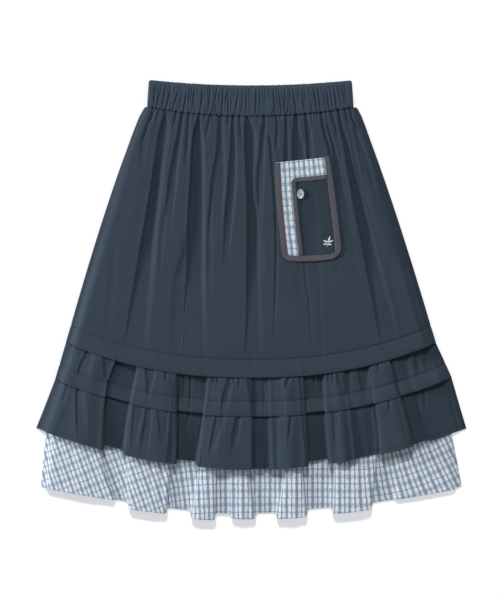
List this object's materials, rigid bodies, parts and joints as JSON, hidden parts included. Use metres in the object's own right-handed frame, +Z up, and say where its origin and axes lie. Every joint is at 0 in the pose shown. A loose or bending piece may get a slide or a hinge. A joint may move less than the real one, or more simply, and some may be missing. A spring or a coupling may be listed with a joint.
{
  "type": "tiered ruffle skirt",
  "caption": "Elastic-waist skirt laid flat, with tucked tiers ruffling over a checked frill, and a taped patch pocket with a shell button.",
  "frame": {"origin": "centre of the skirt's bounding box, on the surface that it lies on", "axes": "+X to the right as seen from above, +Y from the hem up to the waist, +Z up from the surface through the back to the front"},
  "size_m": [0.644, 0.6594, 0.0268],
  "materials": {
    "dark_cloth": "matt dark slate blue crinkled cotton",
    "check_cloth": "matt white and blue checked seersucker",
    "tape": "satin grey woven tape",
    "shell": "pearly shell"
  },
  "bodies": {
    "root": {"waistband_front": "dark_cloth", "waistband_back": "dark_cloth", "skirt_front": "dark_cloth", "skirt_back": "dark_cloth", "ruffle_upper_front": "dark_cloth", "ruffle_upper_back": "dark_cloth", "ruffle_lower_front": "dark_cloth", "ruffle_lower_back": "dark_cloth", "check_frill_front": "check_cloth", "check_frill_back": "check_cloth", "pocket_check": "check_cloth", "pocket_patch": "dark_cloth", "pocket_tape_outer": "tape", "pocket_tape_inner": "tape", "button": "shell"}
  },
  "joints": []
}
